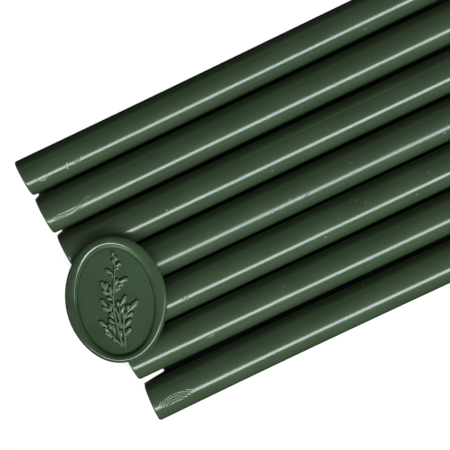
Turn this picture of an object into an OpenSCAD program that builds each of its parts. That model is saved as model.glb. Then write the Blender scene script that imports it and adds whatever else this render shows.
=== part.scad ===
// Round sticks of sealing wax lying side by side, with one pressed oval wax seal
// laid across their near ends. Millimetres. +X runs along the sticks to their far
// ends, +Z is up, and the origin lies on the table under the middle of the row.

/* [Sticks] */
// Diameter of a stick, to suit the feed bore of a full-size glue gun
stick_d = 11.2; // [7:0.1:16]
// Length of a stick
stick_l = 135; // [100:1:250]
// Rounding round the rim of each cut end
end_r = 0.45; // [0.1:0.05:1.5]

/* [Row] */
// Usual gap between two neighbouring sticks
stick_gap = 0.84; // [0.4:0.02:3]
// How far each near end stands back from the one before it
end_step = 0.97; // [0:0.01:3]

/* [Seal] */
// Length of the seal's oval outline
seal_l = 35; // [33.5:0.1:45]
// Width of the seal's oval outline
seal_w = 28.2; // [26.5:0.1:36]
// Height of the rim above the seal's flat back
rim_h = 3.2; // [2.6:0.1:5]
// Rounding of the rim's upper outer edge
rim_top_r = 1.1; // [0.6:0.1:1.6]
// Rounding of the rim's lower outer edge
rim_foot_r = 0.9; // [0.3:0.1:1.2]

/* [Pressed face] */
// Length of the sunk face that the die leaves
face_l = 29.6; // [20:0.1:31]
// Width of the sunk face
face_w = 20.9; // [14:0.1:22.5]
// Depth of the sunk face below the rim
face_depth = 1.3; // [0.6:0.1:1.8]
// Run of the sloping wall round the sunk face
wall_run = 0.9; // [0.2:0.1:1.1]
// How far the die was set down from the seal's centre, along its length
die_shift_l = 0.65; // [0:0.05:0.8]
// How far the die was set from the seal's centre, across it
die_shift_w = 0.1; // [0:0.05:0.5]

/* [Sprig in relief] */
// Height of the leaves above the sunk face
leaf_h = 0.55; // [0.2:0.05:0.6]
// Length of a leaf
leaf_l = 2.4; // [1.5:0.1:3]
// Width of a leaf
leaf_w = 0.95; // [0.5:0.05:1.4]
// Width of the stems
stem_w = 0.45; // [0.25:0.05:0.8]
// Height of the stems above the sunk face
stem_h = 0.4; // [0.15:0.05:0.6]
// Bare margin between the sprig's two ends and the face's edge
sprig_margin = 0.9; // [0.3:0.1:3]
// Turn of the sprig away from the face's long axis
sprig_turn = 3.5; // [-10:0.5:10]

/* [Seal on the sticks] */
// How far the seal's centre lies in from the middle stick's near end
seal_inset = 6.9; // [2:0.1:40]
// How far the seal's centre lies towards the first stick from the middle stick's next gap
seal_aside = 0.45; // [-10:0.05:10]
// Turn of the seal's long axis away from straight across the sticks
seal_turn = 16.5; // [-90:0.5:90]
// Air left between the seal's back and the sticks that it lies on
seal_air = 0.15; // [0.05:0.01:0.5]

/* [Hidden] */
$fn = 96;
stick_count = 7;
middle = 3;
// How deep the sprig's pieces root in the wax below the sunk face
root_depth = 0.3;
// Steps round the seal, and the angle between the bands that round its rim
oval_steps = 64;
edge_step = 22.5;
// The share of the rim's width that its rounded edge may take up
most_of_rim = 0.96;
die_shift = [die_shift_w, die_shift_l];
// Steps along a leaf's outline, and how far its widest place lies towards its tip
leaf_steps = 5;
leaf_bias = 1.25;
// How far a leaf's base reaches back into its stem
leaf_root = 0.4 * stem_w;
stick_green = [0.22, 0.31, 0.2];
seal_green = [0.24, 0.34, 0.22];

// Loose sticks don't lie dead even: what each gap and each near end has over its rule
gap_scatter = [0, 0.1, 0, -0.25, -0.05, 0.08];
end_scatter = [0, -0.15, -0.05, 0.1, 0.1, 0, 0];

function sum_to(list, n) = n <= 0 ? 0 : list[n - 1] + sum_to(list, n - 1);
function across(i) = i * (stick_d + stick_gap) + sum_to(gap_scatter, i);
function near_end(i) = i * end_step + end_scatter[i];

// The seal's place, before the row is centred on the origin
row_w = across(stick_count - 1);
next_gap_y = (row_w - across(middle) - across(middle + 1)) / 2;
seal_x = near_end(middle) + seal_inset;
seal_y = next_gap_y + seal_aside;
seal_z = stick_d + seal_air;

// Half the seal's reach along X, from its turned oval outline
seal_reach = norm([seal_l / 2 * sin(seal_turn), seal_w / 2 * cos(seal_turn)]);
near_ends = [for (i = [0:stick_count - 1]) near_end(i)];
row_x0 = min(min(near_ends), seal_x - seal_reach);
row_x1 = max(max(near_ends) + stick_l, seal_x + seal_reach);
mid_x = (row_x0 + row_x1) / 2;

// One stick, with its axis along X and its near end's centre at the origin
module wax_stick() {
    flat_r = stick_d / 2 - end_r;
    rotate([0, 90, 0])
        rotate_extrude() {
            square([flat_r, stick_l]);
            translate([0, end_r])
                square([stick_d / 2, stick_l - 2 * end_r]);
            intersection() {
                square([stick_d / 2, stick_l]);
                for (z = [end_r, stick_l - end_r])
                    translate([flat_r, z])
                        circle(r = end_r);
            }
        }
}

module placed_stick(i) {
    color(stick_green)
        translate([near_end(i) - mid_x, row_w / 2 - across(i), stick_d / 2])
            wax_stick();
}

// Points round an oval of a full length and width
function oval(l, w, shift = [0, 0]) = [
    for (k = [0:oval_steps - 1])
        shift + [w / 2 * cos(360 * k / oval_steps), l / 2 * sin(360 * k / oval_steps)]
];

// A ring that lies a distance in from an outer one, towards an inner one
function drawn_in(outer, inner, d) = [
    for (k = [0:oval_steps - 1])
        let (way = inner[k] - outer[k])
            outer[k] + way * min(most_of_rim, d / norm(way))
];

function at_height(ring, z) = [for (point = ring) [each point, z]];

// The seal's skin, ring by ring: up the rounded edge, over the rim, down to the sunk face
function seal_rings() =
    let (
        edge = oval(seal_l, seal_w),
        crest = oval(face_l + 2 * wall_run, face_w + 2 * wall_run, -die_shift),
        face = oval(face_l, face_w, -die_shift)
    )
    concat(
        [for (a = [-90:edge_step:0])
            at_height(drawn_in(edge, crest, rim_foot_r * (1 - cos(a))),
                rim_foot_r * (1 + sin(a)))],
        [for (a = [0:edge_step:90])
            at_height(drawn_in(edge, crest, rim_top_r * (1 - cos(a))),
                rim_h - rim_top_r * (1 - sin(a)))],
        [at_height(crest, rim_h), at_height(face, rim_h - face_depth)]
    );

// Closes a stack of rings with a face at each end
module lofted(rings) {
    n = len(rings[0]);
    top = (len(rings) - 1) * n;
    polyhedron(
        points = [for (ring = rings) each ring],
        faces = concat(
            [[for (k = [0:n - 1]) k]],
            [for (j = [0:len(rings) - 2], k = [0:n - 1]) let (a = j * n, next = (k + 1) % n)
                each [[a + k, a + n + next, a + next], [a + k, a + n + k, a + n + next]]],
            [[for (k = [n - 1:-1:0]) top + k]]
        )
    );
}

// Half a leaf's width at a share t of its length, widest past the middle
function leaf_half(t) = leaf_w / 2 * pow(sin(180 * pow(t, leaf_bias)), 0.8);

// A leaf in plan, its base at the origin and its tip towards +Y
module leaf() {
    shares = [for (k = [1:leaf_steps - 1]) k / leaf_steps];
    right = [for (t = shares) [leaf_half(t), t * leaf_l]];
    left = [for (k = [len(shares) - 1:-1:0]) [-leaf_half(shares[k]), shares[k] * leaf_l]];
    linear_extrude(root_depth + leaf_h)
        polygon(concat([[0, -leaf_root]], right, [[0, leaf_l]], left));
}

// A stem that follows points, with a knuckle at each
module stem(points) {
    h = root_depth + stem_h;
    for (i = [0:len(points) - 2]) {
        step = points[i + 1] - points[i];
        translate(points[i])
            rotate(atan2(step[1], step[0])) {
                translate([0, -stem_w / 2])
                    cube([norm(step), stem_w, h]);
                cylinder(d = 1.2 * stem_w, h = h, $fn = 8);
            }
    }
}

// The whole sprig is drawn 28 long and then fitted to the face
sprig_drawn = 28;
main_stem = [[1.5, -14], [0.1, -9], [-0.6, -4], [-0.5, 1], [0.3, 7], [0.6, 11.4]];
side_stems = [
    [[1.5, -14], [1.6, -8], [2.4, -4.5], [4.4, -1.6]],
    [[1.5, -14], [-0.8, -10.8], [-3, -7.6]],
];
// Each twig: its root, its heading from +X, and how many pairs of leaves it has
twigs = [
    [[0.6, 11.4], 100, 0], [[0.5, 9.4], 88, 1], [[0.3, 7], 120, 0], [[0.2, 6.4], 60, 1],
    [[0, 4], 30, 1], [[-0.4, 2.2], 48, 0], [[-0.5, 1], 132, 2], [[-0.6, -4.2], 122, 2],
    [[0.5, -4.6], 66, 2], [[4.4, -1.6], 48, 0], [[2.4, -4.5], 50, 1], [[1.6, -8], 62, 1],
    [[1.6, -10], 50, 0], [[0.1, -9], 95, 1], [[-3, -7.6], 130, 0], [[-1.6, -9.7], 126, 1],
    [[-0.4, -6.5], 130, 1], [[0, -11.6], 145, 0],
];
pair_step = 1.5;
pair_spread = 42;

module twig(heading, pairs) {
    rotate(heading - 90) {
        if (pairs > 0)
            stem([[0, 0], [0, pairs * pair_step]]);
        for (n = [1:1:pairs], side = [-1, 1])
            translate([0, (n - 0.7) * pair_step + side * 0.2])
                rotate(side * pair_spread)
                    leaf();
        translate([0, pairs * pair_step])
            leaf();
    }
}

module sprig() {
    fit = (face_l - 2 * sprig_margin) / sprig_drawn;
    stem(main_stem * fit);
    for (points = side_stems)
        stem(points * fit);
    for (t = twigs)
        translate(t[0] * fit)
            twig(t[1], t[2]);
}

module wax_seal() {
    root_z = rim_h - face_depth - root_depth;
    color(seal_green)
        translate([seal_x - mid_x, seal_y, seal_z])
            rotate(-seal_turn) {
                lofted(seal_rings());
                translate([-die_shift[0], -die_shift[1], root_z])
                    rotate(-sprig_turn)
                        sprig();
            }
}

placed_stick(0);  // stick_1
placed_stick(1);  // stick_2
placed_stick(2);  // stick_3
placed_stick(3);  // stick_4
placed_stick(4);  // stick_5
placed_stick(5);  // stick_6
placed_stick(6);  // stick_7
wax_seal();
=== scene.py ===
"""Looks for seven round sticks of dark green sealing wax that lie side by side, with a pressed
oval seal of the same wax laid across their near ends. Lengths are in metres unless a comment
says mm. The row lies along X on the table, z is up, and stick 1 is the one furthest to +Y."""
import math

import bmesh
import bpy
from mathutils import Matrix, Vector


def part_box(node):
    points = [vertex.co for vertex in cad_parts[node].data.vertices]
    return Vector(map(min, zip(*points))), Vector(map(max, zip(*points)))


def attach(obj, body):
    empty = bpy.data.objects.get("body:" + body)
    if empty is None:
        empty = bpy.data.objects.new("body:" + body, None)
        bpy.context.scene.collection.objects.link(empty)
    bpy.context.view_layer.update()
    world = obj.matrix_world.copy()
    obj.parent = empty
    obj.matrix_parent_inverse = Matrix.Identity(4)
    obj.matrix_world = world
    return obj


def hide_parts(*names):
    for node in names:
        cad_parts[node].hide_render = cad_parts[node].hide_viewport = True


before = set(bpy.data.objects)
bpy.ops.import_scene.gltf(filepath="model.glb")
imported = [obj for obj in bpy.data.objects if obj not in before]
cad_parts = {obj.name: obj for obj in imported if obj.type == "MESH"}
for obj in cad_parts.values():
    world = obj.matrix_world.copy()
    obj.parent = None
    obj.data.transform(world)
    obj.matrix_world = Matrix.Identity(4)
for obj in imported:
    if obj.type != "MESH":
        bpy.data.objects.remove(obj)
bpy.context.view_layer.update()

MM = 0.001
MICRON = 1e-6
# Places closer than this are one place
HAIR = 0.001 * MM

# The camera looks almost straight down on the row's near half
LOOK_AT = Vector((-22.31, 0.0, 5.6)) * MM
CAMERA_HEIGHT = 560 * MM
CAMERA_TURN = math.radians(-25.4)
FRAME_WIDTH = 126 * MM
SENSOR = 36.0

# The strip lights lie along X, tilted from overhead towards the last stick's side
STRIP_DISTANCE = 600 * MM
STRIP_WIDTH = 145 * MM
STRIP_TINT = (0.94, 1.03, 1.03)
# The key strip's tilt, its ends along X from where the camera looks, and how bright it is. It
# is dimmer beyond them, on the side of the near ends and on that of the far ends
KEY_TILT = math.radians(44)
KEY_ENDS = (-655 * MM, 345 * MM)
KEY_GLOW = 10.8
NEAR_WING_ENDS = (-1655 * MM, -655 * MM)
FAR_WING_ENDS = (345 * MM, 1000 * MM)
WING_GLOW = 3.9
# A weak strip nearer overhead, and one low on the first stick's side
UPPER_TILT = math.radians(14)
UPPER_GLOW = 1.0
BACK_TILT = math.radians(-64)
BACK_GLOW = 0.5
# Low, weak lights at the row's two ends, for the cut ends
END_DISTANCE = 800 * MM
END_WIDTH = 800 * MM
END_HEIGHT = 100 * MM
END_GLOW = 7.0
SKY_STRENGTH = 0.14

# The table is white where this much of the sky is open, and dark where this much is
TABLE_SIZE = 40
TABLE_PLAIN = (0.05, 0.05, 0.05, 1)
SHADE_REACH = 300 * MM
SHADE_SAMPLES = 16
OPEN_SKY = 0.5
HIDDEN_SKY = 0.28
# Deep between two near ends it is as dark as if this much more of the sky were hidden
NOTCH_DIM = 0.42
# Painted light and painted shade on the table between two near ends, at fixed places. Where the
# painted light tapers off: the tip's place in mm, the corner of the lower stick in X, and the slant
# of the bright wedge's lower edge
NOTCHES = (
    (-66.25, 30.15, -67.7, 0.37), (-64.6, 18.27, -66.4, 0.27), (-55.6, -29.9, -62.1, 0.106),
)

# The tent over the table, which is dark up to a height in degrees, with a brighter band on the
# first stick's side: where it begins and ends upwards, and where it begins sideways
TENT_RADIUS = 3.0
TENT_GLOW = 0.16
TENT_TINT = (0.85, 1.0, 0.75, 1)
TENT_EDGE = 12
BAND_GLOW = 0.14
BAND_FOOT = (0.5, 0.75)
BAND_TOP = (2.2, 1.2)
BAND_SIDE = (0.5, 2)
CARD_GLOW = 0.01
CARD_LIFT = 0.02 * MM
GAP_CARD_TOP = 9.2 * MM
GAP_CARD_REACH = 78 * MM
GAP_CARD_GLOW = 0.45

# Sticks
STICK_COUNT = 7
STICK_SIDES = 112
RIM_ROUND = 0.7 * MM
# The near part, which the seal and most marks lie on, has finer cuts than the rest
NEAR_PART = 34 * MM
NEAR_CUTS = 68
FAR_CUTS = 66
LONG_EDGE = 10 * MM
# How far each near end is cut off square, in degrees, and the least that a cut takes off
CUT_TILT = (3.4, 3.2, 3.3, 2.0, 1.5, 3.3, -1.2)
CUT_MARGIN = 0.08 * MM
# The cut face dips a little inside its rim, in two steps: each step's width and depth
DISHED = ((1.2 * MM, -0.04 * MM), (2.0 * MM, -0.05 * MM))
# Each stick's width against its height, then how it wanders across the row in mm: its place where
# the camera looks, its slant and its bow, the last two for every SWAY_LENGTH
STICK_SHAPE = (
    (0.960, 0.11, -0.29, -0.21), (0.984, -0.04, -0.21, 0.0), (0.980, 0.03, 0.0, -0.04),
    (0.968, -0.03, 0.14, -0.07), (0.965, -0.12, 0.08, 0.0), (0.968, -0.39, 0.28, 0.10),
    (0.978, -0.08, -0.03, 0.44),
)
SWAY_LENGTH = 55.4 * MM
SWAY_REACH = 1.3

# The seal's turn, and the half width and half length of its oval outline and its sunk face
SEAL_TURN = math.radians(-16.5)
SEAL_HALF = Vector((14.1, 17.5)) * MM
FACE_HALF = Vector((10.4, 14.75)) * MM
# The sunk face's shift from the seal's middle, and its height and the rim's above the back
DIE_SHIFT = Vector((-0.1, -0.65)) * MM
FACE_Z = 1.9 * MM
RIM_Z = 3.2 * MM
# Cells across the sunk face's grid
FACE_SPAN = 232
# The sprig's turn and shift on the face
SPRIG_TURN = math.radians(-3.5)
SPRIG_SHIFT = Vector((-0.09, 0.2)) * MM


def only(*objects):
    """Selects these objects alone and makes the first one active."""
    bpy.ops.object.select_all(action="DESELECT")
    for obj in objects:
        obj.select_set(True)
    bpy.context.view_layer.objects.active = objects[0]


def fresh(name):
    """Names the primitive that was just added and settles its place into its mesh."""
    obj = bpy.context.object
    obj.name = name
    obj.data.name = name
    bpy.ops.object.transform_apply(location=True, rotation=True, scale=True)
    return obj


def pick(obj, kind, wanted):
    """In edit mode, selects only the vertices, edges or faces that wanted says yes to."""
    bpy.ops.mesh.select_mode(type=kind)
    bpy.ops.mesh.select_all(action="DESELECT")
    mesh = bmesh.from_edit_mesh(obj.data)
    items = {"VERT": mesh.verts, "EDGE": mesh.edges, "FACE": mesh.faces}[kind]
    for item in items:
        if wanted(item):
            item.select_set(True)
    mesh.select_flush_mode()
    bmesh.update_edit_mesh(obj.data)


def apply_modifier(obj, kind, **settings):
    only(obj)
    modifier = obj.modifiers.new(kind.title(), kind)
    for key, value in settings.items():
        setattr(modifier, key, value)
    bpy.ops.object.modifier_apply(modifier=modifier.name)


class Shade:
    """A node socket that takes part in Python sums, each of which adds its Math node."""

    def __init__(self, tree, socket):
        self.tree = tree
        self.socket = socket

    def _math(self, operation, other=0.0):
        return self.tree.node("ShaderNodeMath", {"operation": operation}, {0: self, 1: other})

    def __add__(self, other):
        return self._math("ADD", other)

    def __sub__(self, other):
        return self._math("SUBTRACT", other)

    def __mul__(self, other):
        return self._math("MULTIPLY", other)

    def __truediv__(self, other):
        return self._math("DIVIDE", other)

    def maximum(self, other):
        return self._math("MAXIMUM", other)

    def sine(self):
        return self._math("SINE")

    def clamp(self):
        return self.tree.node("ShaderNodeClamp", {}, {0: self})

    def smooth(self, low, high):
        """0 below low and 1 above high, with a soft step between."""
        settings = {"interpolation_type": "SMOOTHSTEP"}
        return self.tree.node("ShaderNodeMapRange", settings, {0: self, 1: low, 2: high})


class Shader:
    """The node tree of a new material or world."""

    def __init__(self, owner):
        owner.use_nodes = True
        self.owner = owner
        self.tree = owner.node_tree
        self.tree.nodes.clear()
        self.place = self.node("ShaderNodeTexCoord", {}, {}, "Object")

    def node(self, kind, settings=None, values=None, output=0):
        """Adds a node, sets it up, then gives its sockets their values or links."""
        made = self.tree.nodes.new(kind)
        for key, value in (settings or {}).items():
            setattr(made, key, value)
        for key, value in (values or {}).items():
            if isinstance(value, Shade):
                self.tree.links.new(value.socket, made.inputs[key])
            else:
                made.inputs[key].default_value = value
        return Shade(self, made.outputs[output]) if made.outputs else None

    def outputs(self, kind, names, values=None):
        """Several outputs of one new node."""
        made = self.node(kind, {}, values).socket.node
        return [Shade(self, made.outputs[name]) for name in names]

    def mapped(self, *scale):
        values = {"Vector": self.place, "Scale": scale}
        return self.node("ShaderNodeMapping", {}, values)

    def axes(self):
        """The place's x, y and z."""
        return self.outputs("ShaderNodeSeparateXYZ", "XYZ", {0: self.place})

    def noise(self, *scale, detail=3.0):
        """Noise whose grains are about 1 / scale across, along x, y and z."""
        values = {"Vector": self.mapped(*scale), "Scale": 1.0, "Detail": detail}
        return self.node("ShaderNodeTexNoise", {}, values)

    def mix(self, factor, a, b):
        """A colour between a and b."""
        values = {0: factor, 6: a, 7: b}
        return self.node("ShaderNodeMix", {"data_type": "RGBA"}, values, 2)

    def bump(self, height):
        """A normal bent by a height in metres."""
        return self.node("ShaderNodeBump", {}, {"Strength": 1.0, "Distance": 1.0, "Height": height})

    def finish(self, result, kind="ShaderNodeOutputMaterial"):
        """Links the result to an output node, and returns the finished material or world."""
        self.node(kind, {}, {"Surface": result})
        return self.owner


def new_material(name):
    return Shader(bpy.data.materials.new(name))


def colour(red, green, blue):
    """A linear colour from the 0 to 255 values that it has on a screen."""
    def linear(v):
        v = v / 255
        return v / 12.92 if v <= 0.04045 else ((v + 0.055) / 1.055) ** 2.4
    return (linear(red), linear(green), linear(blue), 1.0)


WAX_GREEN = colour(63, 80, 57)
WAX_DEEP = colour(58, 74, 52)
WAX_PALE_AND_GLINT = colour(130, 150, 130)
SEAL_GREEN = colour(66, 85, 61)
SEAL_DEEP = colour(55, 71, 50)
SPRIG_PAINTED_LIGHT = colour(88, 110, 80)
SPRIG_PAINTED_SHADE = colour(13, 18, 12)

# How rough each stick's skin is
STICK_ROUGHNESS = (0.17, 0.17, 0.17, 0.21, 0.17, 0.17, 0.17)
# Low on its sides, where the neighbouring sticks' shade falls, a stick is painted darker, down to
# this share of its colour: painted shade. The change runs between two heights
PAINTED_SHADE_SHARE = 0.5
LOW_Z = 6 * MM
LIT_Z = 9.6 * MM
# Handling marks on each stick: the place, the half length and half width in mm, the heading in
# degrees, the bend per mm, the height in micrometres and how pale the mark is painted, partly pale
# wax and partly a painted highlight where the mark catches the light
SCRATCHES = {
    1: [(-62.4, 32.9, 1.9, 0.25, 0, 0.3, -78, 0.8), (-54.84, 33.63, 1.05, 0.30, 65, 0, -100, 0.8),
        (-52.78, 33.35, 0.8, 0.23, 35, 0, 78, 0.7), (-51.68, 33.63, 0.8, 0.23, 35, 0, -78, 0.7),
        (-50.6, 34.1, 0.9, 0.23, 32, 0, 78, 0.7), (-2.63, 39.8, 0.3, 0.23, 0, 0, 40, 0.7),
        (-1.06, 30.8, 0.3, 0.23, 20, 0, -40, 0.7), (11.2, 39.7, 0.3, 0.23, 40, 0, -40, 0.7),
        (36.3, 32.4, 0.35, 0.25, 10, 0, 48, 0.7)],
    2: [(-55.8, 22.65, 3.6, 0.20, 18, 0.02, -67, 0.2), (-53.3, 23.06, 1.6, 0.17, 25, 0, 50, 0.2),
        (-60.0, 20.9, 3.2, 0.20, 3, 0.05, 56, 0.2)],
    3: [(24.0, 14.4, 50.0, 0.16, 0, 0, -22, 0.2), (-35.1, 10.7, 0.35, 0.25, 0, 0, 48, 0.7),
        (-25.66, 15.5, 0.3, 0.23, 0, 0, -40, 0.7), (-3.9, 7.9, 0.3, 0.23, 30, 0, 40, 0.7)],
    4: [(16.26, 0.82, 1.4, 0.18, -49, 0.1, -56, 0.2), (-8.86, -2.5, 0.35, 0.32, 0, 0, -56, 0.7),
        (1.85, -2.2, 1.4, 0.17, 20, 0, 39, 0.2), (-3.1, -1.26, 0.3, 0.23, 0, 0, 40, 0.7),
        (43.7, -3.1, 0.35, 0.23, 0, 0, 40, 0.7)],
    5: [(-41.25, -13.7, 0.9, 0.29, 50, 0, -78, 0.2), (-40.4, -13.9, 0.7, 0.23, 50, 0, -67, 0.2),
        (13.6, -9.4, 0.3, 0.23, 0, 0, 40, 0.7), (15.6, -11.0, 0.3, 0.23, 20, 0, -40, 0.7),
        (35.1, -10.9, 0.35, 0.23, 0, 0, 40, 0.7), (1.5, -15.0, 0.4, 0.23, 0, 0, -40, 0.7),
        (29.5, -15.2, 0.3, 0.23, 0, 0, 40, 0.7)],
    6: [(-39.9, -26.1, 1.6, 0.34, 10, 0, -33, 0.2), (-38.6, -26.4, 0.8, 0.23, 30, 0, 33, 0.2),
        (-14.98, -22.3, 0.3, 0.23, 0, 0, 40, 0.7)],
    7: [(-53.6, -31.8, 0.5, 0.23, 20, 0, 56, 0.2), (-49.8, -31.8, 0.5, 0.23, 20, 0, -56, 0.2),
        (-6.75, -32.3, 0.35, 0.23, 0, 0, 40, 0.7), (5.1, -31.6, 0.35, 0.23, 0, 0, 40, 0.7)],
}
# Fans of fine ridges near an end: as above up to the bend, then the ridges' spacing in mm and
# their height
RIDGES = {
    2: [(-60.2, 21.8, 5.5, 1.1, 0, 0.035, 0.6, 18)],
    7: [(-55.25, -37.3, 6.2, 1.8, 0, -0.07, 0.62, 36)],
}


def wax_finish(shader, green, height, roughness):
    """Ends a wax material, from its colour, its relief in metres and its roughness."""
    values = {
        "Base Color": green,
        "Roughness": roughness,
        "IOR": 1.5,
        "Specular IOR Level": 0.7,
        "Normal": shader.bump(height),
    }
    return shader.finish(shader.node("ShaderNodeBsdfPrincipled", {}, values))


def along_mark(shader, x, y, heading, bend):
    """How far a point lies along a mark and to its side, in mm, from the mark's middle."""
    turn = math.radians(heading)
    here_x, here_y, _ = shader.axes()
    east = here_x / MM - x
    north = here_y / MM - y
    along = east * math.cos(turn) + north * math.sin(turn)
    aside = north * math.cos(turn) - east * math.sin(turn)
    return along, aside - along * along * bend


def oval_mask(along, aside, half_length, half_width):
    """1 in the middle of a long oval and 0 outside it."""
    out = along * along / half_length ** 2 + aside * aside / half_width ** 2
    return out.smooth(1, 0)


def scratch(shader, x, y, half_length, half_width, heading, bend, height, pale):
    """A scratch or speck: its height in metres and its share of pale paint, which is partly pale wax
    and partly a painted highlight.
    """
    along, aside = along_mark(shader, x, y, heading, bend)
    mask = oval_mask(along, aside, half_length, half_width)
    return mask * (height * MICRON), mask * pale


def ridges(shader, x, y, half_length, half_width, heading, bend, spacing, height):
    """A fan of fine ridges, each a little uneven, that fades out towards its edge."""
    along, aside = along_mark(shader, x, y, heading, bend)
    _, level = along_mark(shader, x, y, heading, 0)
    uneven = shader.noise(250, 700, 0) * 4
    waves = (aside * (2 * math.pi / spacing) + uneven).sine()
    return waves * oval_mask(along, level, half_length, half_width) * height * MICRON


def stick_wax(number):
    """Smooth cast wax with faint streaks along the stick and a few handling marks, pale paint and
    painted highlights on the marks, and painted shade low on its sides.
    """
    shader = new_material(f"stick_wax_{number}")
    streaks = shader.noise(25, 1500, 1500)
    ripples = shader.noise(160, 420, 420, detail=2.0)
    clouds = shader.noise(60, 160, 160)
    green = shader.mix(clouds.smooth(0.3, 0.7), WAX_DEEP, WAX_GREEN)
    height = streaks * (7 * MICRON) + ripples * (10 * MICRON) + clouds * (20 * MICRON)
    for mark in SCRATCHES[number]:
        rise, pale = scratch(shader, *mark)
        height = height + rise
        # Pale paint on the marks: partly pale wax, partly a painted highlight where a mark catches
        # the light
        green = shader.mix(pale, green, WAX_PALE_AND_GLINT)
    for fan in RIDGES.get(number, []):
        height = height + ridges(shader, *fan)
    # Painted shade: darker low on the sides, where the neighbours' shade falls
    painted_shade_green = (*(PAINTED_SHADE_SHARE * part for part in WAX_DEEP[:3]), 1)
    _, _, up = shader.axes()
    green = shader.mix(up.smooth(LOW_Z, LIT_Z), painted_shade_green, green)
    return wax_finish(shader, green, height, clouds * 0.06 + STICK_ROUGHNESS[number - 1])


# The part of the sunk face that holds the sprig, as an oval's half width and half length in mm,
# and heights above the seal's back in mm: where the raised sprig is painted paler, as painted
# light, and where its foot and the ledge beside it are painted dark, as painted shade
SPRIG_OVAL = (7.75, 13.04)
SPRIG_LIT_HEIGHTS = (2.05, 2.4)
SHADE_FOOT_LOW = (1.903, 1.916)
SHADE_FOOT_HIGH = (2.3, 2.18)


def sprig_painted_light(shader, green, to_side, towards_tip, up_mm):
    """Painted light: paler on the raised sprig. Painted shade: dark round its foot and on the ledge
    beside it.
    """
    half_width, half_length = SPRIG_OVAL
    out = to_side * to_side / half_width ** 2 + towards_tip * towards_tip / half_length ** 2
    inside = out.smooth(1.1, 0.95)
    # Painted light on the raised sprig
    green = shader.mix(up_mm.smooth(*SPRIG_LIT_HEIGHTS) * inside, green, SPRIG_PAINTED_LIGHT)
    # Painted shade round the sprig's foot, and painted shadow on the ledge
    sprig_painted_shade = up_mm.smooth(*SHADE_FOOT_LOW) * up_mm.smooth(*SHADE_FOOT_HIGH)
    return shader.mix(sprig_painted_shade * inside, green, SPRIG_PAINTED_SHADE)


def seal_wax(middle, bottom):
    """The same wax, poured and pressed: soft mottling, deeper in colour towards the root."""
    shader = new_material("seal_wax")
    clouds = shader.noise(220, 220, 220)
    grain = shader.noise(1500, 1500, 1500, detail=2.0)
    to_side, towards_tip = along_mark(
        shader, middle.x / MM, middle.y / MM, math.degrees(SEAL_TURN), 0)
    pale = clouds.smooth(0.3, 0.7) * 0.4 + towards_tip / 45 + to_side / 40 + 0.3
    green = shader.mix(pale.clamp(), SEAL_DEEP, SEAL_GREEN)
    _, _, up = shader.axes()
    green = sprig_painted_light(shader, green, to_side, towards_tip, (up - bottom) / MM)
    relief = clouds * (10 * MICRON) + grain * MICRON
    return wax_finish(shader, green, relief, clouds * 0.03 + 0.08)


def cylinder_blank(name, low, high):
    """A plain round bar along X in the place of a stick."""
    radius = (high.z - low.z) / 2
    bpy.ops.mesh.primitive_cylinder_add(
        vertices=STICK_SIDES, radius=radius, depth=high.x - low.x, end_fill_type="NGON",
        location=(low + high) / 2, rotation=(0, math.pi / 2, 0))
    return fresh(name)


def cut_end(obj, place, tilt, outwards):
    """Slices the bar off across its axis, turned by tilt, and rounds the rim of the cut."""
    normal = Vector((outwards * math.cos(tilt), math.sin(tilt) * outwards, 0))
    bpy.ops.mesh.select_all(action="SELECT")
    bpy.ops.mesh.bisect(
        plane_co=place, plane_no=normal, use_fill=True, clear_outer=True, threshold=HAIR)

    def on_cut(edge):
        return all(abs((v.co - place).dot(normal)) < HAIR for v in edge.verts)

    pick(obj, "EDGE", on_cut)
    bpy.ops.mesh.bevel(offset=RIM_ROUND, offset_type="OFFSET", segments=5, affect="EDGES")
    pick(obj, "FACE", lambda f: len(f.verts) > 8 and f.normal.x * outwards > 0.9)
    for width, depth in DISHED:
        bpy.ops.mesh.inset(thickness=width, depth=depth)


def wander(stick, number, middle):
    """Makes a stick a little narrower than high, and lets it stray from a straight line."""
    width, place, slant, bow = STICK_SHAPE[number - 1]
    for vertex in stick.data.vertices:
        way = SWAY_REACH * math.tanh((vertex.co.x - LOOK_AT.x) / SWAY_LENGTH / SWAY_REACH)
        sway = place + slant * way + bow * way ** 2
        vertex.co.y = middle.y + (vertex.co.y - middle.y) * width - sway * MM


def cut_up(stick, split_x):
    """Cuts the bar's long edges up, finely before split_x and coarsely after it."""
    bpy.ops.mesh.select_all(action="SELECT")
    bpy.ops.mesh.bisect(plane_co=(split_x, 0, 0), plane_no=(1, 0, 0), threshold=HAIR)

    def long_edge(edge, before):
        a, b = (v.co for v in edge.verts)
        return abs(a.x - b.x) > LONG_EDGE and ((a.x + b.x) / 2 < split_x) == before

    for before, cuts in ((True, NEAR_CUTS), (False, FAR_CUTS)):
        pick(stick, "EDGE", lambda e: long_edge(e, before))
        bpy.ops.mesh.subdivide(number_cuts=cuts)


def wax_stick(number):
    """One stick: a round bar with slightly skew cut ends, which wanders a little."""
    low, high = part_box(f"stick_{number}")
    middle = (low + high) / 2
    radius = (high.z - low.z) / 2
    stick = cylinder_blank(f"wax_stick_{number}", low, high)
    tilt = math.radians(CUT_TILT[number - 1])
    skew = radius * abs(math.tan(tilt))
    bpy.ops.object.mode_set(mode="EDIT")
    cut_end(stick, Vector((low.x + skew + CUT_MARGIN, middle.y, middle.z)), tilt, -1)
    cut_end(stick, Vector((high.x - skew - CUT_MARGIN, middle.y, middle.z)), -tilt / 2, 1)
    cut_up(stick, low.x + NEAR_PART)
    bpy.ops.object.mode_set(mode="OBJECT")
    wander(stick, number, middle)
    only(stick)
    bpy.ops.object.shade_smooth_by_angle(angle=math.radians(50))
    stick.data.materials.append(stick_wax(number))
    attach(stick, f"stick_{number}")
    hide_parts(f"stick_{number}")


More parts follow.
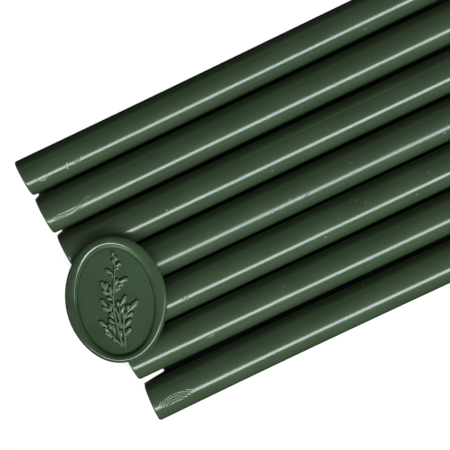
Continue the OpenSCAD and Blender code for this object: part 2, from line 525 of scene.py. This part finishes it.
# The seal's border, ring by ring: the height above its back, then how far the ring lies out from
# the sunk face's edge at the right, the tip's end, the left and the root's end, all in mm.
# First a thin groove and the wall, up to the crest
WALL_RINGS = [
    (1.80, 0.04, 0.05, 0.05, 0.06),
    (1.70, 0.08, 0.09, 0.10, 0.11),
    (1.74, 0.12, 0.15, 0.15, 0.16),
    (1.92, 0.16, 0.21, 0.19, 0.21),
    (2.06, 0.21, 0.28, 0.24, 0.25),
    (2.23, 0.28, 0.37, 0.31, 0.30),
    (2.38, 0.35, 0.47, 0.39, 0.35),
    (2.50, 0.43, 0.58, 0.47, 0.40),
    (2.555, 0.47, 0.69, 0.50, 0.42),
    (2.60, 0.51, 0.79, 0.54, 0.44),
    (2.72, 0.60, 0.92, 0.68, 0.49),
    (2.82, 0.70, 1.01, 0.80, 0.55),
    (2.92, 0.82, 1.11, 0.94, 0.63),
    (2.99, 0.94, 1.20, 1.08, 0.71),
    (3.05, 1.08, 1.31, 1.24, 0.80),
    (3.10, 1.22, 1.41, 1.38, 0.90),
    (3.14, 1.36, 1.50, 1.50, 1.00),
    (3.17, 1.49, 1.58, 1.60, 1.10),
    (3.19, 1.62, 1.65, 1.68, 1.21),
    (3.20, 1.74, 1.73, 1.76, 1.33),
]
# Then over the rounded rim to the outline
RIM_RINGS = [
    (3.195, 1.84, 1.83, 1.84, 1.42),
    (3.185, 1.94, 1.92, 1.90, 1.47),
    (3.165, 2.07, 2.03, 1.99, 1.53),
    (3.135, 2.21, 2.15, 2.09, 1.60),
    (3.095, 2.37, 2.28, 2.20, 1.68),
    (3.045, 2.53, 2.42, 2.33, 1.76),
    (2.98, 2.71, 2.58, 2.50, 1.84),
    (2.88, 2.93, 2.75, 2.72, 1.92),
    (2.75, 3.15, 2.91, 2.94, 1.99),
    (2.60, 3.34, 3.05, 3.14, 2.06),
    (2.42, 3.49, 3.17, 3.32, 2.13),
    (2.20, 3.60, 3.27, 3.46, 2.20),
    (1.90, 3.67, 3.34, 3.56, 2.26),
    (1.60, 3.71, 3.38, 3.62, 2.31),
    (1.30, 3.72, 3.40, 3.64, 2.34),
]
OUTLINE = (3.73, 3.41, 3.65, 2.35)
# How far the outline draws in between its sides and its two ends, in mm
ROOT_DRAWN_IN = 0.23
TIP_DRAWN_IN = 0.05
# Where that starts and how far out it grows, as shares of the sunk face's half sizes
RIM_START = 1.12
RIM_SPAN = 0.16
FOOT_MM = 0.9
FOOT_STEPS = 5

# The sprig is drawn on the sunk face in millimetres, x across it and y up its length.
# Stems, as points from root to tip
STEMS = [
    [(1.55, -14), (0.7, -11.7), (0.1, -9), (-0.35, -6.4), (-0.6, -4), (-0.7, -1.6),
     (-0.54, 1.2), (-0.2, 4), (0.3, 6.8), (0.63, 9.6), (0.67, 12.5)],
    [(1.55, -14), (1.63, -10.6), (1.42, -7.7), (1.7, -5.9), (2.2, -4.5), (3.2, -2.9), (4.7, -1.4)],
    [(1.06, -7.7), (0.6, -4.8), (0.1, -2.9), (-0.7, -1.15), (-1.8, -0.2)],
    [(1.55, -14), (0.4, -12.1), (-0.9, -10.7), (-2.1, -9.1), (-3.4, -7.1)],
]
# Thin twigs that carry leaves away from the stems
TWIGS = [
    [(-0.55, 0.9), (-1.3, 1.6), (-2.4, 3.1)],
    [(-0.35, 2.3), (0.3, 3.6), (0.8, 4.9)],
    [(-0.6, -4), (-1.4, -2.9), (-2.4, -1.5)],
    [(0.7, -5.5), (0.95, -3.8), (0.8, -1.9)],
]
# Leaves: where the base lies, the length and the heading in degrees
LEAVES = [
    (0.5, 12.2, 1.55, 94), (0.75, 10.8, 1.6, 64), (0.6, 10.1, 1.6, 109), (0.7, 9.4, 2.0, 30),
    (0.7, 8.4, 1.5, 41), (0.05, 7.3, 2.6, 141), (-0.25, 6.4, 1.0, 105), (0.25, 4.0, 2.3, 68),
    (0.8, 4.9, 3.3, 18), (0.7, 3.9, 2.1, 21), (-0.15, 2.5, 2.2, 35), (-2.45, 3.0, 2.9, 111),
    (-2.3, 3.25, 2.1, 82), (-1.5, 1.9, 2.3, 147), (-1.2, 1.3, 2.95, 89), (-0.8, 0.3, 1.7, 150),
    (0.85, -1.9, 3.9, 56), (0.55, -1.7, 1.65, 89), (-2.4, -1.5, 2.8, 125), (-1.9, -2.6, 2.3, 147),
    (-1.4, -2.7, 1.9, 95), (-1.0, -4.7, 1.8, 125), (2.6, -3.7, 4.9, 43), (2.9, -3.1, 1.9, 74),
    (2.3, -5.0, 2.7, 33), (0.95, -3.8, 2.7, 62), (1.6, -5.4, 2.4, 82), (1.7, -7.5, 3.0, 46),
    (1.7, -9.8, 2.75, 49), (-0.7, -6.4, 2.4, 138), (-2.9, -7.1, 2.95, 138), (-2.0, -7.9, 2.0, 102),
    (-1.1, -9.2, 2.8, 95), (-2.3, -8.3, 1.9, 145), (-2.0, -9.9, 2.5, 134), (-0.1, -11.3, 2.0, 147),
    (0.6, -4.8, 1.5, 103), (0.6, -7.7, 2.15, 94), (0.6, -10.0, 1.9, 92),
]
# A leaf or stem stands on straight sides and is domed above them
LEAF_SIDE = 0.42 * MM
LEAF_DOME = 0.27 * MM
# A leaf's width in mm: what each has, and what it gains for every mm of its length
LEAF_WIDTH = 0.84
LEAF_WIDTH_GAIN = 0.12
# Below 1 a leaf is peaked along its middle like a low roof
LEAF_PEAK = 0.65
STEM_SIDE = 0.3 * MM
STEM_RADIUS = 0.34 * MM
TWIG_RADIUS = 0.25 * MM
# Beside each lies a thin ledge, shifted to the side where its shadow falls and painted dark there
# as painted shadow: its shift and its share of the height
SHADOW_LEDGE_SHIFT = Vector((-0.12, 0.29)) * MM
SHADOW_LEDGE_SHARE = 0.05


def leaf_blank():
    """A plump leaf, 1 long and 1 wide, with its base at the origin and its tip on +Y."""
    bpy.ops.mesh.primitive_uv_sphere_add(
        segments=20, ring_count=16, radius=0.5, location=(0, 0.5, 0), rotation=(math.pi / 2, 0, 0))
    blank = fresh("leaf_blank")
    for vertex in blank.data.vertices:
        along = min(max(vertex.co.y, 0.0), 1.0)
        # Narrow and low at its base, wide and high towards its tip
        vertex.co.x *= 0.45 + 0.75 * along ** 0.9
        peak = 1 - max(1 - 4 * vertex.co.z ** 2, 0) ** LEAF_PEAK
        vertex.co.z = math.copysign(peak / 2, vertex.co.z) * (0.8 + 0.25 * along)
    return blank


def twin(obj):
    """A copy of an object, with a mesh of its own."""
    copied = obj.copy()
    copied.data = obj.data.copy()
    bpy.context.collection.objects.link(copied)
    return copied


def placed_leaf(blank, x, y, length, heading):
    leaf = twin(blank)
    width = LEAF_WIDTH + LEAF_WIDTH_GAIN * length
    size = Matrix.Diagonal((width * MM, length * MM, 2 * LEAF_DOME, 1))
    turn = Matrix.Rotation(math.radians(heading - 90), 4, "Z")
    place = Matrix.Translation((x * MM, y * MM, FACE_Z + LEAF_SIDE))
    leaf.data.transform(place @ turn @ size)
    return leaf


def stem(points, radius):
    """A round stem through points, thinner at its tip."""
    curve = bpy.data.curves.new("stem", "CURVE")
    curve.dimensions = "3D"
    curve.bevel_depth = radius
    curve.bevel_resolution = 4
    curve.use_fill_caps = True
    line = curve.splines.new("NURBS")
    line.points.add(len(points) - 1)
    line.use_endpoint_u = True
    line.order_u = 3
    line.resolution_u = 8
    for k, (x, y) in enumerate(points):
        line.points[k].co = (x * MM, y * MM, FACE_Z + STEM_SIDE, 1)
        line.points[k].radius = 1.1 - 0.45 * k / (len(points) - 1)
    made = bpy.data.objects.new("stem", curve)
    bpy.context.collection.objects.link(made)
    only(made)
    bpy.ops.object.convert(target="MESH")
    return bpy.context.object


def shadow_ledge(part):
    """A part's copy, flattened to a thin ledge that shows beside it, on the side where its shadow
    falls, to carry painted shadow.
    """
    flat = twin(part)
    lower = Matrix.Translation((*SHADOW_LEDGE_SHIFT, FACE_Z)) @ Matrix.Diagonal((1, 1, SHADOW_LEDGE_SHARE, 1))
    flat.data.transform(lower @ Matrix.Translation((0, 0, -FACE_Z)))
    return flat


def sprig_blank():
    """The die's hollow as a solid: the face plate with all the stems and leaves on it."""
    bpy.ops.mesh.primitive_plane_add(size=2 * SEAL_HALF.y, location=(0, 0, FACE_Z))
    plate = fresh("sprig_blank")
    blank = leaf_blank()
    parts = [placed_leaf(blank, *leaf) for leaf in LEAVES]
    parts += [stem(points, STEM_RADIUS) for points in STEMS]
    parts += [stem(points, TWIG_RADIUS) for points in TWIGS]
    parts += [shadow_ledge(part) for part in parts]
    bpy.data.objects.remove(blank)
    place = Matrix.Rotation(SPRIG_TURN, 4, "Z") @ Matrix.Translation((*SPRIG_SHIFT, 0))
    for part in parts:
        part.data.transform(place)
    only(plate, *parts)
    bpy.ops.object.join()
    return plate


def oval_grid():
    """A fine even grid that fills the sunk face, lying above the sprig blank."""
    bpy.ops.mesh.primitive_circle_add(
        vertices=4 * FACE_SPAN, radius=1, fill_type="NOTHING", location=(0, 0, RIM_Z))
    grid = bpy.context.object
    grid.scale = (FACE_HALF.x, FACE_HALF.y, 1)
    grid = fresh("wax_seal_piece")
    bpy.ops.object.mode_set(mode="EDIT")
    bpy.ops.mesh.select_all(action="SELECT")
    bpy.ops.mesh.fill_grid(span=FACE_SPAN)
    bpy.ops.mesh.normals_make_consistent(inside=False)
    bpy.ops.object.mode_set(mode="OBJECT")
    return grid


def press_sprig(grid):
    """Drapes the grid over the sprig blank, as the wax fills the die."""
    blank = sprig_blank()
    apply_modifier(grid, "SHRINKWRAP", target=blank, wrap_method="PROJECT",
                   use_project_z=True, use_positive_direction=False, use_negative_direction=True)
    bpy.data.objects.remove(blank)
    apply_modifier(grid, "SMOOTH", factor=0.35, iterations=1)


def foot_rings():
    """From the outline round the lower edge to the flat back."""
    rings = []
    for k in range(FOOT_STEPS + 1):
        angle = math.radians(90 * k / FOOT_STEPS)
        inwards = FOOT_MM * (1 - math.cos(angle))
        rings.append((FOOT_MM * (1 - math.sin(angle)), *(out - inwards for out in OUTLINE)))
    return rings


def border_rings():
    """Each ring of the border: its centre and half sizes from the face's centre, and its height."""
    rings = []
    for up, right, tip, left, root in WALL_RINGS + RIM_RINGS + foot_rings():
        centre = Vector((right - left, tip - root)) / 2 * MM
        half = FACE_HALF + Vector((right + left, tip + root)) / 2 * MM
        rings.append((centre, half, up * MM))
    return rings


def draw_border(seal):
    """Pulls the face's edge out ring by ring into the groove, wall, rim and rounded edge."""
    bpy.ops.object.mode_set(mode="EDIT")
    pick(seal, "EDGE", lambda e: e.is_boundary)
    centre, half, z = Vector((0, 0)), FACE_HALF, FACE_Z
    for new_centre, new_half, new_z in border_rings():
        bpy.ops.mesh.extrude_edges_move()
        bpy.ops.transform.resize(
            value=(new_half.x / half.x, new_half.y / half.y, 1),
            center_override=(centre.x, centre.y, 0))
        step = new_centre - centre
        bpy.ops.transform.translate(value=(step.x, step.y, new_z - z))
        centre, half, z = new_centre, new_half, new_z
    bpy.ops.mesh.edge_face_add()
    bpy.ops.mesh.select_all(action="SELECT")
    bpy.ops.mesh.normals_make_consistent(inside=False)
    bpy.ops.object.mode_set(mode="OBJECT")


def slim_corners(seal):
    """Draws the rim in a little on both sides of each end, as the poured wax ran."""
    for vertex in seal.data.vertices:
        x, y = vertex.co.x / FACE_HALF.x, vertex.co.y / FACE_HALF.y
        out = min(max((math.hypot(x, y) - RIM_START) / RIM_SPAN, 0), 1)
        corner = math.sin(2 * math.atan2(y, x)) ** 2
        drawn_in = (ROOT_DRAWN_IN if y < 0 else TIP_DRAWN_IN) * MM * corner * out
        vertex.co.xy -= vertex.co.xy.normalized() * drawn_in


def wax_seal():
    """The seal: the sunk face with its sprig, and the border that is drawn out round it."""
    low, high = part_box("wax_seal")
    seal = oval_grid()
    press_sprig(seal)
    draw_border(seal)
    slim_corners(seal)
    place = Matrix.Translation(((low.x + high.x) / 2, (low.y + high.y) / 2, low.z))
    drawn_from_face = Matrix.Translation((DIE_SHIFT.x, DIE_SHIFT.y, 0))
    seal.data.transform(place @ Matrix.Rotation(SEAL_TURN, 4, "Z") @ drawn_from_face)
    only(seal)
    bpy.ops.object.shade_smooth_by_angle(angle=math.radians(70))
    seal.data.materials.append(seal_wax((low + high) / 2, low.z))
    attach(seal, "seal")
    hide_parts("wax_seal")


def camera():
    data = bpy.data.cameras.new("camera")
    data.sensor_width = SENSOR
    data.lens = SENSOR * CAMERA_HEIGHT / FRAME_WIDTH
    data.clip_start, data.clip_end = 0.01, 20
    obj = bpy.data.objects.new("camera", data)
    bpy.context.collection.objects.link(obj)
    obj.location = LOOK_AT + Vector((0, 0, CAMERA_HEIGHT))
    obj.rotation_euler = (0, 0, CAMERA_TURN)
    bpy.context.scene.camera = obj


def softbox(name, size, glow, place, turn, tint=(1, 1, 1)):
    """A rectangular light that looks glow times as bright as white paper."""
    data = bpy.data.lights.new(name, "AREA")
    data.shape = "RECTANGLE"
    data.size, data.size_y = size
    data.energy = glow * math.pi * size[0] * size[1]
    data.color = tint
    light = bpy.data.objects.new(name, data)
    bpy.context.collection.objects.link(light)
    light.location = place
    light.rotation_euler = turn
    return light


def strip_light(name, ends, glow, tilt=KEY_TILT):
    """A softbox along X, tilted from overhead towards the last stick's side."""
    way = Vector((0, -math.sin(tilt), math.cos(tilt)))
    place = LOOK_AT + STRIP_DISTANCE * way + Vector(((ends[0] + ends[1]) / 2, 0, 0))
    size = (ends[1] - ends[0], STRIP_WIDTH)
    return softbox(name, size, glow, place, (tilt, 0, 0), STRIP_TINT)


def end_light(name, way):
    """A low light beyond the row's near ends, where way is -1, or its far ends."""
    place = (way * END_DISTANCE, 0, END_HEIGHT / 2)
    turn = (math.pi / 2, 0, way * math.pi / 2)
    return softbox(name, (END_WIDTH, END_HEIGHT), END_GLOW, place, turn)


def lights():
    """The strips that the wax mirrors as streaks, and weak lights that leave no streak."""
    strip_light("key_strip", KEY_ENDS, KEY_GLOW)
    strip_light("near_wing", NEAR_WING_ENDS, WING_GLOW)
    strip_light("far_wing", FAR_WING_ENDS, WING_GLOW)
    streakless = (
        strip_light("upper_strip", KEY_ENDS, UPPER_GLOW, UPPER_TILT),
        strip_light("back_strip", KEY_ENDS, BACK_GLOW, BACK_TILT),
        end_light("near_end_light", -1),
        end_light("far_end_light", 1),
    )
    for light in streakless:
        light.visible_glossy = False


def background_factor(shader):
    """1 for what the camera, a mirror or a glass would show, and 0 for plain lighting."""
    rays = ("Is Camera Ray", "Is Glossy Ray", "Is Transmission Ray")
    camera_ray, glossy_ray, transmission_ray = shader.outputs("ShaderNodeLightPath", rays)
    return (camera_ray + glossy_ray + transmission_ray).clamp()


def notch(shader, tip_x, tip_y, corner_x, slant):
    """Between two near ends: where the table has painted light up to a slanting edge, and painted
    shade beyond it.
    Each soft edge begins and ends at a distance in mm."""
    here_x, here_y, _ = shader.axes()
    right = here_x / MM - tip_x
    lean = here_y / MM - tip_y - right * slant
    lit = lean.smooth(-0.1, 0.15) * lean.smooth(3, 2) * right.smooth(0.3, -0.3)
    inside = (here_x / MM - corner_x).smooth(-0.5, 0.5) * right.smooth(10, 8)
    inside = inside * lean.smooth(-5, -4) * lean.smooth(2.2, 1.8)
    return lit, inside * lean.smooth(0.1, -0.15).maximum(right.smooth(-0.3, 0.4))


def table_white():
    """White where the sky is open, and dark deep between and under the pieces."""
    shader = new_material("table_white")
    plain = shader.node("ShaderNodeBsdfDiffuse", {}, {"Color": TABLE_PLAIN})
    settings, values = {"samples": SHADE_SAMPLES}, {"Distance": SHADE_REACH}
    open_sky = shader.node("ShaderNodeAmbientOcclusion", settings, values, "AO")
    lit_parts, dim_parts = zip(*(notch(shader, *place) for place in NOTCHES))
    table_painted_light = sum(lit_parts[1:], lit_parts[0])
    table_painted_shade = sum(dim_parts[1:], dim_parts[0])
    white = (open_sky - table_painted_shade * NOTCH_DIM).smooth(HIDDEN_SKY, OPEN_SKY).maximum(table_painted_light)
    white = white * background_factor(shader)
    glow = shader.node("ShaderNodeEmission", {}, {"Strength": white})
    return shader.finish(shader.node("ShaderNodeAddShader", {}, {0: plain, 1: glow}))


def floor():
    """A white table that keeps the row's shadow."""
    bpy.ops.mesh.primitive_plane_add(size=TABLE_SIZE, location=(0, 0, 0))
    table = fresh("table")
    table.data.materials.append(table_white())


def seen_in_gloss_only(obj):
    """Makes a stage piece that only the wax's gloss picks up."""
    for kind in ("camera", "diffuse", "transmission", "volume_scatter", "shadow"):
        setattr(obj, f"visible_{kind}", False)


def glow_material(name, strength, tint=(1, 1, 1, 1)):
    shader = new_material(name)
    values = {"Color": tint, "Strength": strength}
    return shader.finish(shader.node("ShaderNodeEmission", {}, values))


def dark_card():
    """A dark round card on the table, so that the wax doesn't mirror a white table."""
    bpy.ops.mesh.primitive_circle_add(
        vertices=64, radius=TENT_RADIUS, fill_type="NGON", location=(0, 0, CARD_LIFT))
    card = fresh("dark_card")
    card.data.materials.append(glow_material("dark_card", CARD_GLOW))
    seen_in_gloss_only(card)


def tent_glow():
    """Dim, brighter towards the last stick's side, with a band on the first stick's side."""
    shader = new_material("tent")
    edge = TENT_RADIUS * math.sin(math.radians(TENT_EDGE))
    _, across, up = shader.axes()
    glow = up.smooth(0, edge * 2) * across.smooth(TENT_RADIUS, -TENT_RADIUS) * TENT_GLOW
    band = up.smooth(*BAND_FOOT) * up.smooth(*BAND_TOP) * across.smooth(*BAND_SIDE)
    glow = glow + band * BAND_GLOW
    values = {"Color": TENT_TINT, "Strength": glow}
    return shader.finish(shader.node("ShaderNodeEmission", {}, values))


def tent():
    """A dim round tent over the table."""
    bpy.ops.mesh.primitive_uv_sphere_add(segments=64, ring_count=32, radius=TENT_RADIUS)
    dome = fresh("tent")
    dome.data.materials.append(tent_glow())
    seen_in_gloss_only(dome)


def gap_card(number):
    """A dim green card on edge between two sticks, so that they don't mirror each other's streak."""
    low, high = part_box(f"stick_{number + 1}")[1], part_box(f"stick_{number}")[0]
    y = (low.y + high.y) / 2
    bpy.ops.mesh.primitive_plane_add(
        size=1, location=(0, y, GAP_CARD_TOP / 2), rotation=(math.pi / 2, 0, 0))
    bpy.context.object.scale = (2 * GAP_CARD_REACH, GAP_CARD_TOP, 1)
    card = fresh(f"gap_card_{number}")
    card.data.materials.append(glow_material(card.name, GAP_CARD_GLOW, WAX_GREEN))
    seen_in_gloss_only(card)


def sky():
    """A weak even sky, which is plain white where the camera sees it."""
    shader = Shader(bpy.data.worlds.new("sky"))
    soft = shader.node("ShaderNodeBackground", {}, {"Strength": SKY_STRENGTH})
    white = shader.node("ShaderNodeBackground")
    values = {0: background_factor(shader), 1: soft, 2: white}
    mixed = shader.node("ShaderNodeMixShader", {}, values)
    bpy.context.scene.world = shader.finish(mixed, "ShaderNodeOutputWorld")


camera()
for stick_number in range(1, STICK_COUNT + 1):
    wax_stick(stick_number)
wax_seal()
floor()
dark_card()
tent()
for stick_number in range(1, STICK_COUNT):
    gap_card(stick_number)
lights()
sky()
bpy.context.scene.view_settings.view_transform = "Standard"
